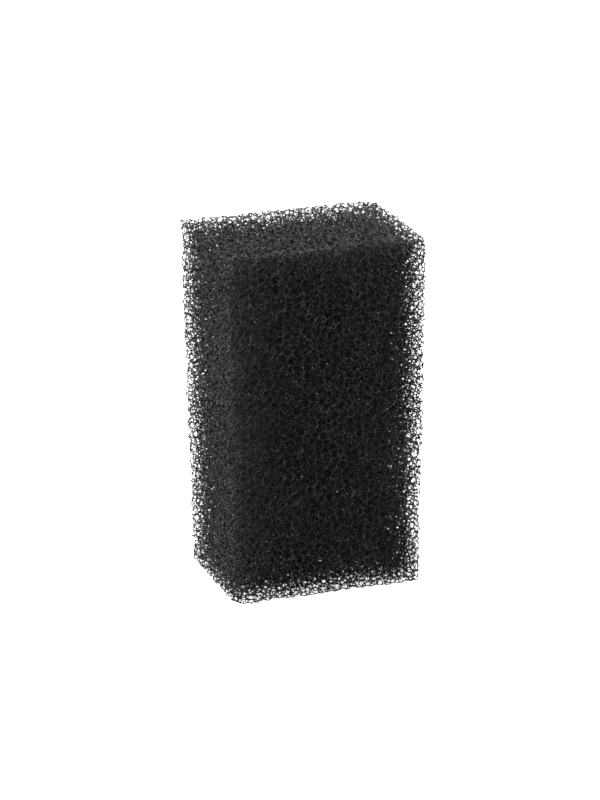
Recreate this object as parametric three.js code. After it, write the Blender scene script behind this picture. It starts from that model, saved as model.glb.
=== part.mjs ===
// Sponge filter: a single block of coarse open-cell foam, sawn to size on all six sides.
//
// Millimetres, +Z up. The block stands on its small end, as it does when water is drawn through it.
// The origin is the middle of the footprint on the plane that it stands on. +X runs along the broad
// faces from left to right, and +Y runs from the front face to the back face.

import * as THREE from 'three';

// Size of the block between the middles of opposite faces.
const blockWidth = 61;
const blockDepth = 43;
const blockHeight = 109;

// Saw cuts in soft foam run a little out of square. Each value is how far a face has moved outwards
// by the time the cut reaches the far edge of the block.
const frontLeanAtHead = 1.7;
const backLeanAtHead = 2.4;
const leftLeanAtHead = 2.1;
const leftSpreadAtBack = 0.6;
const backSpreadAtLeft = 0.7;
const headRiseAtRight = 1.3;
const headRiseAtBack = 0.9;

// Finish of the dyed foam.
const foamColour = 0x232427;
const foamRoughness = 0.85;
const foamMetalness = 0;

const toRight = new THREE.Vector3(1, 0, 0);
const toLeft = toRight.clone().negate();
const toBack = new THREE.Vector3(0, 1, 0);
const toFront = toBack.clone().negate();
const toHead = new THREE.Vector3(0, 0, 1);
const toFoot = toHead.clone().negate();

// A face goes through its own middle and moves outwards by `rise` along each run, over its length.
function sawnFace(outward, middle, runs) {
  const normal = outward.clone();
  for (const run of runs) {
    normal.addScaledVector(run.along, -run.rise / run.length);
  }
  return new THREE.Plane().setFromNormalAndCoplanarPoint(normal.normalize(), middle);
}

// The corner where three faces meet.
function meetingPoint(first, second, third) {
  const rows = new THREE.Matrix3(
    ...first.normal.toArray(),
    ...second.normal.toArray(),
    ...third.normal.toArray(),
  );
  const offsets = new THREE.Vector3(-first.constant, -second.constant, -third.constant);
  return offsets.applyMatrix3(rows.invert());
}

// The six faces, each through the middle of its side of the block.
function sawnFaces() {
  const halfWidth = blockWidth / 2;
  const halfDepth = blockDepth / 2;
  const halfHeight = blockHeight / 2;
  return {
    front: sawnFace(toFront, new THREE.Vector3(0, -halfDepth, halfHeight), [
      { along: toHead, rise: frontLeanAtHead, length: blockHeight },
    ]),
    back: sawnFace(toBack, new THREE.Vector3(0, halfDepth, halfHeight), [
      { along: toHead, rise: backLeanAtHead, length: blockHeight },
      { along: toLeft, rise: backSpreadAtLeft, length: blockWidth },
    ]),
    left: sawnFace(toLeft, new THREE.Vector3(-halfWidth, 0, halfHeight), [
      { along: toHead, rise: leftLeanAtHead, length: blockHeight },
      { along: toBack, rise: leftSpreadAtBack, length: blockDepth },
    ]),
    right: sawnFace(toRight, new THREE.Vector3(halfWidth, 0, halfHeight), []),
    head: sawnFace(toHead, new THREE.Vector3(0, 0, blockHeight), [
      { along: toRight, rise: headRiseAtRight, length: blockWidth },
      { along: toBack, rise: headRiseAtBack, length: blockDepth },
    ]),
    foot: sawnFace(toFoot, new THREE.Vector3(0, 0, 0), []),
  };
}

// Two triangles to a face, its corners given anticlockwise as seen from outside.
function addFace(positions, corners) {
  const [first, second, third, fourth] = corners;
  for (const corner of [first, second, third, first, third, fourth]) {
    positions.push(...corner.toArray());
  }
}

function foamBlockGeometry() {
  const face = sawnFaces();
  const foot = {
    frontLeft: meetingPoint(face.foot, face.front, face.left),
    frontRight: meetingPoint(face.foot, face.front, face.right),
    backRight: meetingPoint(face.foot, face.back, face.right),
    backLeft: meetingPoint(face.foot, face.back, face.left),
  };
  const head = {
    frontLeft: meetingPoint(face.head, face.front, face.left),
    frontRight: meetingPoint(face.head, face.front, face.right),
    backRight: meetingPoint(face.head, face.back, face.right),
    backLeft: meetingPoint(face.head, face.back, face.left),
  };
  const positions = [];
  addFace(positions, [foot.frontLeft, foot.frontRight, head.frontRight, head.frontLeft]);
  addFace(positions, [foot.frontRight, foot.backRight, head.backRight, head.frontRight]);
  addFace(positions, [foot.backRight, foot.backLeft, head.backLeft, head.backRight]);
  addFace(positions, [foot.backLeft, foot.frontLeft, head.frontLeft, head.backLeft]);
  addFace(positions, [head.frontLeft, head.frontRight, head.backRight, head.backLeft]);
  addFace(positions, [foot.frontLeft, foot.backLeft, foot.backRight, foot.frontRight]);
  const geometry = new THREE.BufferGeometry();
  geometry.setAttribute('position', new THREE.Float32BufferAttribute(positions, 3));
  geometry.computeVertexNormals();
  return geometry;
}

// The leaning faces reach further to one side than to the other, so the footprint's middle is
// brought back over the origin.
function centreOnOrigin(geometry) {
  geometry.computeBoundingBox();
  const middle = geometry.boundingBox.getCenter(new THREE.Vector3());
  geometry.translate(-middle.x, -middle.y, 0);
  return geometry;
}

const foamMaterial = new THREE.MeshStandardMaterial({
  color: foamColour,
  roughness: foamRoughness,
  metalness: foamMetalness,
});

const foamBlock = new THREE.Mesh(centreOnOrigin(foamBlockGeometry()), foamMaterial);
foamBlock.name = 'foam_block';

const spongeFilter = new THREE.Group();
spongeFilter.name = 'sponge_filter';
spongeFilter.add(foamBlock);

export default spongeFilter;
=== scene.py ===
import math
import bpy
import numpy as np
from mathutils import Matrix, Vector
from mathutils.kdtree import KDTree


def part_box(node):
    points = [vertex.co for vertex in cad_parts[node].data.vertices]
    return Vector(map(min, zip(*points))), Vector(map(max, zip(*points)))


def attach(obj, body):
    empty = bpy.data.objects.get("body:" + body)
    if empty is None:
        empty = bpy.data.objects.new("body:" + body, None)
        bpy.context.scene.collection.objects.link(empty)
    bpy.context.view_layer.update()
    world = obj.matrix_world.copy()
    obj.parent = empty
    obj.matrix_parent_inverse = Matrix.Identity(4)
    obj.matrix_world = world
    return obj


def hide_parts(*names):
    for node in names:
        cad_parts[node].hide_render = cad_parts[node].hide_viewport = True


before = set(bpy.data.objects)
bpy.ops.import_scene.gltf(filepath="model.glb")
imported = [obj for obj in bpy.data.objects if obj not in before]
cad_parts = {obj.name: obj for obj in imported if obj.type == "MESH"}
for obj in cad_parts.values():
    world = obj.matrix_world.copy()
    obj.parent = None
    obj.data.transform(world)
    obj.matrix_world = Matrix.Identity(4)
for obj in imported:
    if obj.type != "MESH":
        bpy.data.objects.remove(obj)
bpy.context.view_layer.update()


# The foam's sawn faces
# The block is sawn from a slab of foam with six straight cuts, which wander by a fraction of a
# millimetre as the blade follows the soft foam and tears the struts off a little below its own line.
# Three corners and two front edges have worn off since, each of them as if by one more cut.
MM = 1000.0
FOAM_SEED = 20
CUT_WANDER = 0.2
CUT_WANDER_LENGTH = 23.0
WANDER_STRETCHES = (2.0, 1.3, 0.8)
TORN_DEPTH = 0.15
FOOT_MARGIN = 0.3
SAME_WAY = 0.9999
WORN_PLACES = (
    ((-1, -1, -1), 1.5),
    ((1, -1, 1), 1.1),
    ((1, 1, 1), 2.6),
    ((0, -1, 1), 1.4),
    ((-1, -1, 0), 0.8),
)

rng = np.random.default_rng(FOAM_SEED)
block_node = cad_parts["foam_block"]
cuts = []
for polygon in block_node.data.polygons:
    outward = np.array(polygon.normal, dtype=float)
    offset = float(outward @ np.array(polygon.center)) * MM
    if not any(outward @ known["outward"] > SAME_WAY for known in cuts):
        cuts.append({"outward": outward, "offset": offset})
for way, worn in WORN_PLACES:
    outward = np.array(way) / np.linalg.norm(way)
    reach = max(float(outward @ np.array(vertex.co)) for vertex in block_node.data.vertices) * MM
    cuts.append({"outward": outward, "offset": reach - worn})
for cut in cuts:
    cut["is_foot"] = cut["outward"][2] < -SAME_WAY
    cut["waves"] = [
        (rng.normal(size=3) * math.tau / (CUT_WANDER_LENGTH * stretch), rng.random() * math.tau)
        for stretch in WANDER_STRETCHES
    ]
block_low, block_high = (np.array(corner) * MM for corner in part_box("foam_block"))


def depth_below(cut, points):
    """How deep each point lies below one cut, in millimetres; negative is outside.

    The foot is flat, and its joints stay clear of the floor by the thickness of a strut.
    """
    below = cut["offset"] - points @ cut["outward"]
    if cut["is_foot"]:
        return below - FOOT_MARGIN
    below = below - TORN_DEPTH
    for turns, phase in cut["waves"]:
        below = below - CUT_WANDER / len(WANDER_STRETCHES) * (1 + np.sin(points @ turns + phase))
    return below


def depth_in_block(points):
    """How deep each point lies below the nearest cut."""
    return np.min([depth_below(cut, points) for cut in cuts], axis=0)


# The foam's cells
# Gas bubbles of nearly one size pack together as the foam rises. They start at random places, one to
# a cube of a grid, and push one another apart. The cells of the core, which is too deep for light to
# come back from, are wider, so that the block has no more struts than it needs.
CELL_PITCH = 2.3
CORE_PITCH = 3.5
CORE_DEPTH = 5.2
BUBBLE_MARGIN = 1.7 * CELL_PITCH
SETTLING_ROUNDS = 5
PUSHES_PER_ROUND = 3
PUSH_SHARE = 0.3
REST_SPACING = 1.12
NEAR_BUBBLES = 14


def scattered(pitch):
    """One bubble at a random place in each cube of a grid that holds the block."""
    counts = np.ceil((block_high - block_low + 2 * BUBBLE_MARGIN) / pitch).astype(int)
    cubes = np.stack(np.meshgrid(*[np.arange(n) for n in counts], indexing="ij"), axis=-1).reshape(-1, 3)
    return block_low - BUBBLE_MARGIN + (cubes + rng.random(cubes.shape)) * pitch


def nearest_bubbles(bubbles, count):
    """The bubbles nearest to each bubble, the nearest first."""
    tree = KDTree(len(bubbles))
    for index, bubble in enumerate(bubbles.tolist()):
        tree.insert(bubble, index)
    tree.balance()
    nearest = np.empty((len(bubbles), count), dtype=np.int64)
    for index, bubble in enumerate(bubbles.tolist()):
        nearest[index] = [hit[1] for hit in tree.find_n(bubble, count + 1)][1:]
    return nearest


skin_bubbles = scattered(CELL_PITCH)
core_bubbles = scattered(CORE_PITCH)
skin_depth = depth_in_block(skin_bubbles)
skin_bubbles = skin_bubbles[(skin_depth > -BUBBLE_MARGIN) & (skin_depth < CORE_DEPTH)]
core_bubbles = core_bubbles[depth_in_block(core_bubbles) > CORE_DEPTH]
bubbles = np.concatenate([skin_bubbles, core_bubbles])
pitch = np.concatenate([np.full(len(skin_bubbles), CELL_PITCH), np.full(len(core_bubbles), CORE_PITCH)])
for _ in range(SETTLING_ROUNDS):
    near = nearest_bubbles(bubbles, NEAR_BUBBLES)
    rest = REST_SPACING * (pitch[:, None] + pitch[near]) / 2
    for _ in range(PUSHES_PER_ROUND):
        away = bubbles[:, None, :] - bubbles[near]
        gap = np.linalg.norm(away, axis=2)
        push = PUSH_SHARE * np.clip(rest - gap, 0, None) / gap
        bubbles = bubbles + (away * push[:, :, None]).sum(axis=1)


# The foam's struts
# Once the films between the bubbles have burst, only the struts remain. A strut runs where three
# bubbles met, along the line that is equally far from the three, and ends where a fourth met them.
FACING_BUBBLES = 36
WIDEST_BUBBLE = 1.45
BUBBLES_AT_ONCE = 400
BUBBLE_NUMBER_BITS = 16
EVENING_ROUNDS = 3
EVENING_SHARE = 0.35
DRAG_ROUNDS = 3
DRAG_REACH = 1.2
FRAYED_DEPTH = 1.0
ON_THE_CUT = 1e-6
HANGING_SHARE = 0.1
SHEDDING_ROUNDS = 3
HALVINGS = 12
SHORTEST_STUB = 0.3


def struts_between(bubbles, near, reach):
    """Each strut's three bubbles, the fourth bubble at either end, and its two end points.

    A strut's line goes through the middle of the circle round its three bubbles, square to their
    plane. Each of the other bubbles ends it where that bubble is as near as the three are.
    """
    first, second = np.triu_indices(near.shape[1], 1)
    threes, fourths, ends = [], [], []
    for start in range(0, len(bubbles), BUBBLES_AT_ONCE):
        own = np.arange(start, min(start + BUBBLES_AT_ONCE, len(bubbles)))
        around = near[own]
        j, k = around[:, first], around[:, second]
        row, column = np.nonzero((j > own[:, None]) & (k > own[:, None]))
        j, k = j[row, column], k[row, column]
        i, j, k = own[row], np.minimum(j, k), np.maximum(j, k)
        to_j, to_k = bubbles[j] - bubbles[i], bubbles[k] - bubbles[i]
        axis = np.cross(to_j, to_k)
        square = (axis * axis).sum(axis=1)
        middle = np.cross(axis, to_j) * (to_k * to_k).sum(axis=1)[:, None]
        middle += np.cross(to_k, axis) * (to_j * to_j).sum(axis=1)[:, None]
        middle /= 2 * square[:, None]
        close = (middle * middle).sum(axis=1) < reach[i] ** 2
        i, j, k, row, axis, square, middle = (v[close] for v in (i, j, k, row, axis, square, middle))
        axis /= np.sqrt(square)[:, None]
        other = around[row]
        to_other = (bubbles[around] - bubbles[own][:, None, :])[row]
        slope = np.einsum("sbc,sc->sb", to_other, axis)
        room = 0.5 * (to_other * to_other).sum(axis=2) - np.einsum("sbc,sc->sb", to_other, middle)
        slope[(other == j[:, None]) | (other == k[:, None])] = 0
        with np.errstate(divide="ignore", invalid="ignore"):
            along = room / slope
        upper = np.where(slope > 0, along, np.inf)
        lower = np.where(slope < 0, along, -np.inf)
        rows = np.arange(len(i))
        at_upper, at_lower = upper.argmin(axis=1), lower.argmax(axis=1)
        top, bottom = upper[rows, at_upper], lower[rows, at_lower]
        real = (bottom < top) & np.isfinite(top) & np.isfinite(bottom)
        threes.append(np.stack([i, j, k], axis=1)[real])
        fourths.append(np.stack([other[rows, at_lower], other[rows, at_upper]], axis=1)[real])
        centre = (bubbles[i] + middle)[real]
        axis = axis[real]
        ends.append(np.stack([centre + axis * bottom[real, None], centre + axis * top[real, None]], axis=1))
    return np.concatenate(threes), np.concatenate(fourths), np.concatenate(ends)


near = nearest_bubbles(bubbles, FACING_BUBBLES)
three, fourth, end = struts_between(bubbles, near, WIDEST_BUBBLE * pitch)

# Four struts meet where four bubbles did, so a joint is known by its four bubbles. A strut's slot at
# a joint is the rank, among those four, of the bubble that it doesn't touch.
four = np.concatenate([np.column_stack([three, fourth[:, side]]) for side in (0, 1)])
slot_of_end = (four[:, 3:] > four[:, :3]).sum(axis=1)
four.sort(axis=1)
key = np.zeros(len(four), dtype=np.uint64)
for column in range(4):
    key = (key << np.uint64(BUBBLE_NUMBER_BITS)) | four[:, column].astype(np.uint64)
_, first_seen, joint_of_end = np.unique(key, return_index=True, return_inverse=True)
joint_four = four[first_seen]
joint_place = np.concatenate([end[:, 0], end[:, 1]])[first_seen]
strut_count, joint_count = len(three), len(joint_four)
joint = np.stack([joint_of_end[:strut_count], joint_of_end[strut_count:]], axis=1)
slot = np.stack([slot_of_end[:strut_count], slot_of_end[strut_count:]], axis=1)

# Surface tension evens the struts out: every joint is drawn to the middle of the joints around it.
for _ in range(EVENING_ROUNDS):
    drawn, pulls = np.zeros((joint_count, 3)), np.zeros(joint_count)
    for side in (0, 1):
        np.add.at(drawn, joint[:, side], joint_place[joint[:, 1 - side]])
        np.add.at(pulls, joint[:, side], 1)
    joint_place = joint_place + EVENING_SHARE * (drawn / pulls[:, None] - joint_place)

# The blade drags the struts along with it, so joints that lay just outside come to lie at the cut or
# a little way in. Those of the foot are pressed flat by what the block stands on.
for _ in range(DRAG_ROUNDS):
    for cut in cuts:
        below = depth_below(cut, joint_place)
        dragged = (below < 0) & (below > -DRAG_REACH)
        deepest = 0 if cut["is_foot"] else FRAYED_DEPTH
        sunk = deepest * rng.random(dragged.sum())
        joint_place[dragged] += (below[dragged] - sunk)[:, None] * cut["outward"]

# The blade leaves only what lies inside the block, and of that only what hangs together. Joints that
# hang together come to share the lowest of their numbers.
joint_depth, rim_depth = np.sort([depth_below(cut, joint_place) for cut in cuts], axis=0)[:2]
kept_joint = joint_depth > -ON_THE_CUT
linked = joint[kept_joint[joint].all(axis=1)]
island = np.arange(joint_count)
while True:
    lowest = island.copy()
    np.minimum.at(lowest, linked[:, 0], island[linked[:, 1]])
    np.minimum.at(lowest, linked[:, 1], island[linked[:, 0]])
    lowest = lowest[lowest]
    if (lowest == island).all():
        break
    island = lowest
island_numbers, joints_on_island = np.unique(island[kept_joint], return_counts=True)
kept_joint &= island == island_numbers[joints_on_island.argmax()]

# Most of the struts that were left hanging by one end have come off since.
holds_on = rng.random(joint_count) < HANGING_SHARE
for _ in range(SHEDDING_ROUNDS):
    whole = joint[kept_joint[joint].all(axis=1)]
    struts_at_joint = np.bincount(whole.ravel(), minlength=joint_count)
    kept_joint &= (struts_at_joint > 1) | holds_on
kept_strut = kept_joint[joint].any(axis=1)

# Where a strut leaves the block, it ends at the cut, which is closed in on by halves.
cut_share = np.zeros(strut_count)
for side in (0, 1):
    leaving = np.nonzero(kept_joint[joint[:, side]] & ~kept_joint[joint[:, 1 - side]])[0]
    root, tip = joint_place[joint[leaving, side]], joint_place[joint[leaving, 1 - side]]
    near_share, far_share = np.zeros(len(leaving)), np.ones(len(leaving))
    for _ in range(HALVINGS):
        share = (near_share + far_share) / 2
        inside = depth_in_block(root + (tip - root) * share[:, None]) > 0
        near_share = np.where(inside, share, near_share)
        far_share = np.where(inside, far_share, share)
    cut_share[leaving] = near_share

strut_vector = joint_place[joint[:, 1]] - joint_place[joint[:, 0]]
strut_length = np.linalg.norm(strut_vector, axis=1)
leaving = kept_strut & ~kept_joint[joint].all(axis=1)
kept_strut &= ~leaving | (strut_length * cut_share > SHORTEST_STUB)


# The shape of a strut
# Surface tension draws each strut to a three-sided section, thin at its waist and gathered where four
# struts meet. A joint is a small eight-sided knot: one corner on each of its six ridges, four sides
# that the struts grow from and four that face the bubbles. Struts that the blade smeared are stouter.
KNOT_REACH = 0.080
MIDDLE_REACH = 0.070
DEEP_REACH = 0.125
DEEP_DEPTH = 4.5
SLIMMEST_SHARE = 0.45
SHORT_STRUT_SHARE = 0.8
WAIST_REACH = 0.035
WAISTED_DEPTH = 2.0
THICKNESS_SPREAD = 0.12
FURTHEST_SPREAD = 2
SKIN_DEPTH = 1.3
SKIN_SHARE = 0.45
RIM_WIDTH = 2.5
RIM_SHARE = 0.25
STRUT_BOW = 0.05
STUB_REACH = 0.45
STUB_LEAST_SHARE = 0.65
LONGEST_STUB = 0.35
HAIRLINE = 1e-9

# A joint's bubbles are numbered 0 to 3, and a strut has the number of the one that it doesn't touch.
# Each corner of a knot lies between two bubbles. These are the pairs, then the three corners that
# each strut grows from, and the three that face each bubble.
RIDGE_PAIRS = ((0, 1), (0, 2), (0, 3), (1, 2), (1, 3), (2, 3))
STRUT_SIDE = np.array([[3, 5, 4], [1, 5, 2], [0, 4, 2], [0, 3, 1]])
BUBBLE_SIDE = np.array([[0, 2, 1], [0, 3, 4], [1, 5, 3], [2, 4, 5]])


def unit(vectors):
    """The same directions, each one long."""
    return vectors / np.maximum(np.linalg.norm(vectors, axis=-1, keepdims=True), HAIRLINE)


strut_axis = unit(strut_vector)
strut_way = np.zeros((joint_count, 4, 3))
strut_way[joint[:, 0], slot[:, 0]] = strut_axis
strut_way[joint[:, 1], slot[:, 1]] = -strut_axis

# How far a knot's corners lie from its joint, which is more near the cuts and in the core, and less
# where a strut is short.
shortest = np.full(joint_count, np.inf)
np.minimum.at(shortest, joint[:, 0], strut_length)
np.minimum.at(shortest, joint[:, 1], strut_length)
ridge = np.interp(joint_depth, (WAISTED_DEPTH, DEEP_DEPTH), (MIDDLE_REACH, DEEP_REACH))
ridge = np.where(joint_depth < WAISTED_DEPTH, KNOT_REACH, ridge) * pitch[joint_four[:, 0]]
ridge *= 1 + THICKNESS_SPREAD * rng.normal(size=joint_count).clip(-FURTHEST_SPREAD, FURTHEST_SPREAD)
near_cut = (1 - joint_depth / SKIN_DEPTH).clip(0, 1)
stoutness = 1 + near_cut * (SKIN_SHARE + RIM_SHARE * (rim_depth < RIM_WIDTH))
ridge = stoutness * np.clip(SHORT_STRUT_SHARE * shortest, SLIMMEST_SHARE * ridge, ridge)

# A knot's corner lies where the film between two bubbles was, midway between the two struts that
# touch both of them.
knot_way = np.empty((joint_count, 6, 3))
for corner, pair in enumerate(RIDGE_PAIRS):
    c, d = (spare for spare in range(4) if spare not in pair)
    knot_way[:, corner] = unit(strut_way[:, c] + strut_way[:, d])
knot = joint_place[:, None, :] + knot_way * ridge[:, None, None]

# The three ridges of a strut, in the same order as the corners of its knots.
ridge_way = np.zeros((strut_count, 3, 3))
for side in (0, 1):
    at = joint[:, side]
    ridge_way += knot_way[at[:, None], STRUT_SIDE[slot[:, side]]] * kept_joint[at, None, None]
ridge_way -= np.einsum("src,sc->sr", ridge_way, strut_axis)[:, :, None] * strut_axis[:, None, :]
ridge_way = unit(ridge_way)

# The waist of a strut near the cuts, which is a little off the straight line between its joints.
bow = STRUT_BOW * strut_length[:, None] * rng.normal(size=(strut_count, 3))
bow -= (bow * strut_axis).sum(axis=1)[:, None] * strut_axis
waist_place = joint_place[joint].mean(axis=1) + bow
waist_radius = WAIST_REACH * CELL_PITCH * stoutness[joint].mean(axis=1)
waist_ring = waist_place[:, None, :] + waist_radius[:, None, None] * ridge_way
waisted = (joint_depth[joint] < WAISTED_DEPTH).all(axis=1) & kept_joint[joint].all(axis=1)

# The sawn end of a strut that leaves the block.
inner_side = np.where(kept_joint[joint[:, 0]], 0, 1)
inner_joint = joint[np.arange(strut_count), inner_side]
stub_way = strut_axis * np.where(inner_side == 0, 1, -1)[:, None]
stub_length = np.minimum(strut_length * cut_share, LONGEST_STUB)
stub_length = np.maximum(stub_length, STUB_LEAST_SHARE * ridge[inner_joint])
stub_place = joint_place[inner_joint] + stub_way * stub_length[:, None]
stub_radius = STUB_REACH * ridge[inner_joint]
stub_ring = stub_place[:, None, :] + ridge_way * stub_radius[:, None, None]

# A joint whose four bubbles turn the other way round has its knot inside out, until it is flipped.
bubble_a, bubble_b, bubble_c, bubble_d = (bubbles[joint_four[:, n]] for n in range(4))
turn = np.einsum("nc,nc->n", np.cross(bubble_b - bubble_a, bubble_c - bubble_a), bubble_d - bubble_a)
left_handed = turn < 0


# The block of foam
# One block of black polyurethane foam. Its mesh is cut into level tiers only to keep each file small:
# every tier is closed where a strut passes on to the next one, and they meet face to face. The struts
# have a satin shine, and their black is a little bluer in some patches and greyer in others.
TIERS = 13
PATCH_SCALE = 70
PATCH_DETAIL = 2
PATCH_EDGES = (0.38, 0.62)
PATCH_COLOURS = ((0.0120, 0.0132, 0.0154, 1), (0.0141, 0.0152, 0.0151, 1))
GRAIN_SCALE = 900
GRAIN_DETAIL = 1
GRAIN_RANGE = (0.3, 0.7)
STRUT_ROUGHNESS = (0.22, 0.30)
STRUT_SHINE = 0.5

foam = bpy.data.materials.new("black foam")
foam.use_nodes = True
nodes, links = foam.node_tree.nodes, foam.node_tree.links
shader = nodes["Principled BSDF"]
shader.inputs["Specular IOR Level"].default_value = STRUT_SHINE
coordinates = nodes.new("ShaderNodeTexCoord")
patches = nodes.new("ShaderNodeTexNoise")
patches.inputs["Scale"].default_value = PATCH_SCALE
patches.inputs["Detail"].default_value = PATCH_DETAIL
tint = nodes.new("ShaderNodeValToRGB")
for stop, position, colour in zip(tint.color_ramp.elements, PATCH_EDGES, PATCH_COLOURS):
    stop.position = position
    stop.color = colour
grain = nodes.new("ShaderNodeTexNoise")
grain.inputs["Scale"].default_value = GRAIN_SCALE
grain.inputs["Detail"].default_value = GRAIN_DETAIL
sheen = nodes.new("ShaderNodeMapRange")
sheen.inputs["From Min"].default_value, sheen.inputs["From Max"].default_value = GRAIN_RANGE
sheen.inputs["To Min"].default_value, sheen.inputs["To Max"].default_value = STRUT_ROUGHNESS
links.new(coordinates.outputs["Object"], patches.inputs["Vector"])
links.new(coordinates.outputs["Object"], grain.inputs["Vector"])
links.new(patches.outputs["Fac"], tint.inputs["Fac"])
links.new(tint.outputs["Color"], shader.inputs["Base Color"])
links.new(grain.outputs["Fac"], sheen.inputs["Value"])
links.new(sheen.outputs["Result"], shader.inputs["Roughness"])

tier_edges = np.quantile(joint_place[kept_joint, 2], np.arange(1, TIERS) / TIERS)
tier_of_joint = np.searchsorted(tier_edges, joint_place[:, 2])
tier_of_strut = np.where(kept_strut, tier_of_joint[inner_joint], -1)


def tier_mesh(tier):
    """The corners and triangles of the joints and struts that belong to one tier, closed all round."""
    own_joints = np.nonzero(kept_joint & (tier_of_joint == tier))[0]
    row_of = np.full(joint_count, -1)
    row_of[own_joints] = np.arange(len(own_joints))
    corners = [knot[own_joints].reshape(-1, 3)]
    corner_total = 6 * len(own_joints)
    sides = np.repeat(6 * np.arange(len(own_joints)), 4)[:, None]
    sides = sides + np.tile(BUBBLE_SIDE, (len(own_joints), 1))
    flip = np.repeat(left_handed[own_joints], 4)
    triangles = [np.where(flip[:, None], sides[:, ::-1], sides)]

    # Each strut's first and last ring: its knot's corners where the knot is in this tier, or else new
    # corners of its own with a lid, at the knot in the next tier or at the sawn end.
    own_struts = np.nonzero(tier_of_strut == tier)[0]
    own_waisted = waisted[own_struts]
    rings, lids = [], []
    for side in (0, 1):
        at, place = joint[own_struts, side], slot[own_struts, side]
        ring = 6 * row_of[at][:, None] + STRUT_SIDE[place]
        apart = row_of[at] < 0
        elsewhere = apart & kept_joint[at]
        sawn = apart & ~kept_joint[at]
        places = np.empty((len(own_struts), 3, 3))
        places[elsewhere] = knot[at[elsewhere][:, None], STRUT_SIDE[place[elsewhere]]]
        places[sawn] = stub_ring[own_struts[sawn]]
        ring[apart] = corner_total + np.arange(3 * apart.sum()).reshape(-1, 3)
        corners.append(places[apart].reshape(-1, 3))
        corner_total += 3 * int(apart.sum())
        rings.append(ring)
        lids.append(ring[apart][:, ::-1] if side == 0 else ring[apart])

    # The three sides of each strut, in one span or in two that meet at its waist.
    first_ring, last_ring = rings
    waist = corner_total + np.arange(3 * own_waisted.sum()).reshape(-1, 3)
    corners.append(waist_ring[own_struts[own_waisted]].reshape(-1, 3))
    spans = (
        (first_ring[~own_waisted], last_ring[~own_waisted]),
        (first_ring[own_waisted], waist),
        (waist, last_ring[own_waisted]),
    )
    for low_ring, high_ring in spans:
        for a, b in ((0, 1), (1, 2), (2, 0)):
            triangles.append(np.stack([low_ring[:, a], low_ring[:, b], high_ring[:, b]], axis=1))
            triangles.append(np.stack([low_ring[:, a], high_ring[:, b], high_ring[:, a]], axis=1))
    triangles += lids

    # The strut sides of a knot from which no strut of this tier grows.
    grown = np.zeros((len(own_joints), 4), dtype=bool)
    for side in (0, 1):
        here = row_of[joint[own_struts, side]]
        grown[here[here >= 0], slot[own_struts, side][here >= 0]] = True
    bare_row, bare_slot = np.nonzero(~grown)
    bare = 6 * bare_row[:, None] + STRUT_SIDE[bare_slot]
    outward_as_is = left_handed[own_joints][bare_row] ^ (bare_slot % 2 == 0)
    triangles.append(np.where(outward_as_is[:, None], bare, bare[:, ::-1]))
    return np.concatenate(corners) / MM, np.concatenate(triangles)


for tier in range(TIERS):
    corners, triangles = tier_mesh(tier)
    mesh = bpy.data.meshes.new(f"foam_tier_{tier + 1:02d}")
    mesh.vertices.add(len(corners))
    mesh.vertices.foreach_set("co", corners.astype(np.float32).ravel())
    mesh.loops.add(3 * len(triangles))
    mesh.loops.foreach_set("vertex_index", triangles.astype(np.int32).ravel())
    mesh.polygons.add(len(triangles))
    mesh.polygons.foreach_set("loop_start", np.arange(0, 3 * len(triangles), 3, dtype=np.int32))
    mesh.polygons.foreach_set("use_smooth", np.ones(len(triangles), dtype=bool))
    mesh.update(calc_edges=True)
    mesh.materials.append(foam)
    piece = bpy.data.objects.new(mesh.name, mesh)
    bpy.context.scene.collection.objects.link(piece)
    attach(piece, "root")
    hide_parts("foam_block")


# The floor
# A white table. It shows the camera white paper that glows as the backdrop does, so that only the
# block's own shadow is left on it, and to everything else it is plain paper.
TABLE_WIDTH = 6
PAPER_WHITE = 0.8
PAPER_ROUGHNESS = 0.9
PAPER_GLOW = 0.8

bpy.ops.object.select_all(action="DESELECT")
bpy.ops.mesh.primitive_plane_add(size=TABLE_WIDTH, location=(0, 0, 0))
floor = bpy.context.object
floor.name = "floor"
paper = bpy.data.materials.new("white paper")
paper.use_nodes = True
nodes, links = paper.node_tree.nodes, paper.node_tree.links
nodes["Principled BSDF"].inputs["Base Color"].default_value = (PAPER_WHITE, PAPER_WHITE, PAPER_WHITE, 1)
nodes["Principled BSDF"].inputs["Roughness"].default_value = PAPER_ROUGHNESS
glow = nodes.new("ShaderNodeEmission")
glow.inputs["Color"].default_value = (1, 1, 1, 1)
path = nodes.new("ShaderNodeLightPath")
share = nodes.new("ShaderNodeMath")
share.operation = "MULTIPLY"
share.inputs[1].default_value = PAPER_GLOW
both = nodes.new("ShaderNodeAddShader")
links.new(path.outputs["Is Camera Ray"], share.inputs[0])
links.new(share.outputs["Value"], glow.inputs["Strength"])
links.new(nodes["Principled BSDF"].outputs["BSDF"], both.inputs[0])
links.new(glow.outputs["Emission"], both.inputs[1])
links.new(both.outputs["Shader"], nodes["Material Output"].inputs["Surface"])
floor.data.materials.append(paper)


# The dark end of the room
# A black cloth that hangs behind the camera and lies over the table all round the block. Only the
# foam's shine meets it: the front mirrors the dark cloth, and the other sides mirror the white room.
CLOTH_SIDE = 1.2
CLOTH_ROWS = ((0.90, 0.0002), (-0.95, 0.0002), (-0.95, 2.40))
CLOTH_BLACK = 0.01

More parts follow.
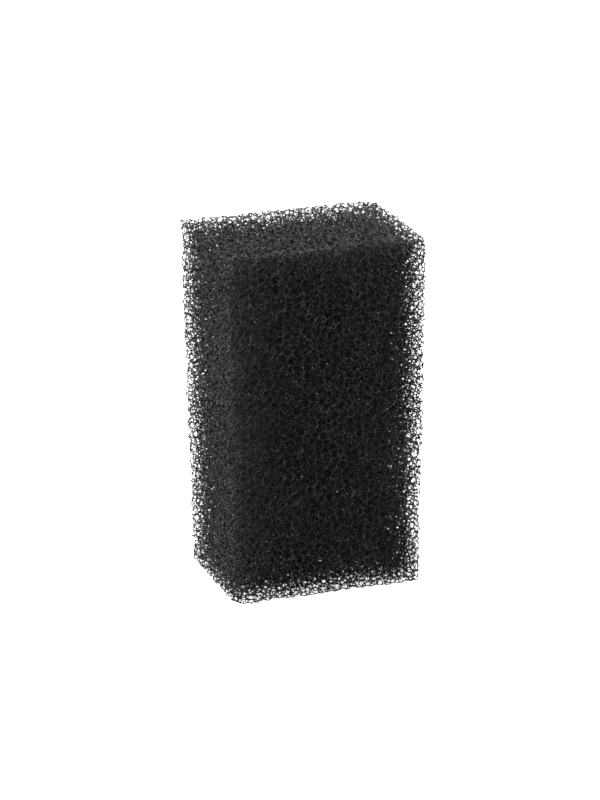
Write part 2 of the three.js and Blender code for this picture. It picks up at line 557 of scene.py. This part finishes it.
cloth_corners = [(side * CLOTH_SIDE, y, z) for y, z in CLOTH_ROWS for side in (-1, 1)]
cloth_mesh = bpy.data.meshes.new("black cloth")
cloth_mesh.from_pydata(cloth_corners, [], [(0, 1, 3, 2), (2, 3, 5, 4)])
cloth = bpy.data.objects.new("black cloth", cloth_mesh)
bpy.context.scene.collection.objects.link(cloth)
dye = bpy.data.materials.new("black cloth")
dye.use_nodes = True
dye_shader = dye.node_tree.nodes["Principled BSDF"]
dye_shader.inputs["Base Color"].default_value = (CLOTH_BLACK, CLOTH_BLACK, CLOTH_BLACK, 1)
dye_shader.inputs["Specular IOR Level"].default_value = 0
cloth.data.materials.append(dye)
cloth.visible_camera = False
cloth.visible_diffuse = False
cloth.visible_transmission = False
cloth.visible_shadow = False


# The light
# A white room, which the camera and the foam's shine see as pure white and which lights the block
# only a little. Two panels light its sides, and small lamps leave a glint on a strut here and there.
# The fill lamp is where the camera is: it lights the depths of the cells and leaves no glint.
ROOM_LIGHT = 0.1
BACKDROP_LIGHT = 1.0
LIT_PLACE = Vector((0, 0, 0.05))

# Each lamp's name, place and width, in metres, and the strength of its glow.
LAMPS = (
    ("left panel", (-0.90, 0.10, 0.40), 0.80, 10.0),
    ("right panel", (0.85, 0.45, 0.30), 0.80, 3.5),
    ("left lamp", (-0.75, -0.35, 0.20), 0.05, 330.0),
    ("right lamp", (0.75, -0.35, 0.20), 0.05, 330.0),
    ("high lamp", (0.20, -0.60, 0.95), 0.05, 160.0),
    ("fill lamp", (-0.257, -0.723, 0.318), 0.05, 290.0),
)

world = bpy.data.worlds.new("studio")
bpy.context.scene.world = world
world.use_nodes = True
nodes, links = world.node_tree.nodes, world.node_tree.links
room = nodes["Background"]
room.inputs["Color"].default_value = (1, 1, 1, 1)
room.inputs["Strength"].default_value = ROOM_LIGHT
backdrop = nodes.new("ShaderNodeBackground")
backdrop.inputs["Color"].default_value = (1, 1, 1, 1)
backdrop.inputs["Strength"].default_value = BACKDROP_LIGHT
path = nodes.new("ShaderNodeLightPath")
mix = nodes.new("ShaderNodeMixShader")
seen = nodes.new("ShaderNodeMath")
seen.operation = "MAXIMUM"
seen_in_gloss = nodes.new("ShaderNodeMath")
seen_in_gloss.operation = "MAXIMUM"
links.new(path.outputs["Is Camera Ray"], seen.inputs[0])
links.new(path.outputs["Is Transmission Ray"], seen.inputs[1])
links.new(seen.outputs["Value"], seen_in_gloss.inputs[0])
links.new(path.outputs["Is Glossy Ray"], seen_in_gloss.inputs[1])
links.new(seen_in_gloss.outputs["Value"], mix.inputs["Fac"])
links.new(room.outputs["Background"], mix.inputs[1])
links.new(backdrop.outputs["Background"], mix.inputs[2])
links.new(mix.outputs["Shader"], nodes["World Output"].inputs["Surface"])

for name, place, size, glow in LAMPS:
    lamp = bpy.data.lights.new(name, "AREA")
    lamp.size = size
    lamp.energy = math.pi * size * size * glow
    holder = bpy.data.objects.new(name, lamp)
    holder.location = place
    holder.rotation_euler = (Vector(place) - LIT_PLACE).to_track_quat("Z", "Y").to_euler()
    holder.visible_camera = False
    holder.visible_glossy = name != "fill lamp"
    bpy.context.scene.collection.objects.link(holder)


# The camera
# It stands in front of the block, to the left and above, with a long lens, and looks at its middle.
AIM = Vector((-0.37, 0.34, 55.1)) / MM
AZIMUTH = math.radians(-19.49)
ELEVATION = math.radians(18.93)
ROLL = math.radians(0.1)
DISTANCE = 814.5 / MM
LENS = 121.5
SENSOR_WIDTH = 36

back = Vector((
    math.sin(AZIMUTH) * math.cos(ELEVATION),
    -math.cos(AZIMUTH) * math.cos(ELEVATION),
    math.sin(ELEVATION),
))
lens = bpy.data.cameras.new("camera")
lens.lens = LENS
lens.sensor_width = SENSOR_WIDTH
camera = bpy.data.objects.new("camera", lens)
camera.location = AIM + back * DISTANCE
look = (-back).to_track_quat("-Z", "Y").to_matrix()
camera.rotation_euler = (look @ Matrix.Rotation(ROLL, 3, "Z")).to_euler()
bpy.context.scene.collection.objects.link(camera)
bpy.context.scene.camera = camera
bpy.context.scene.view_settings.view_transform = "Standard"
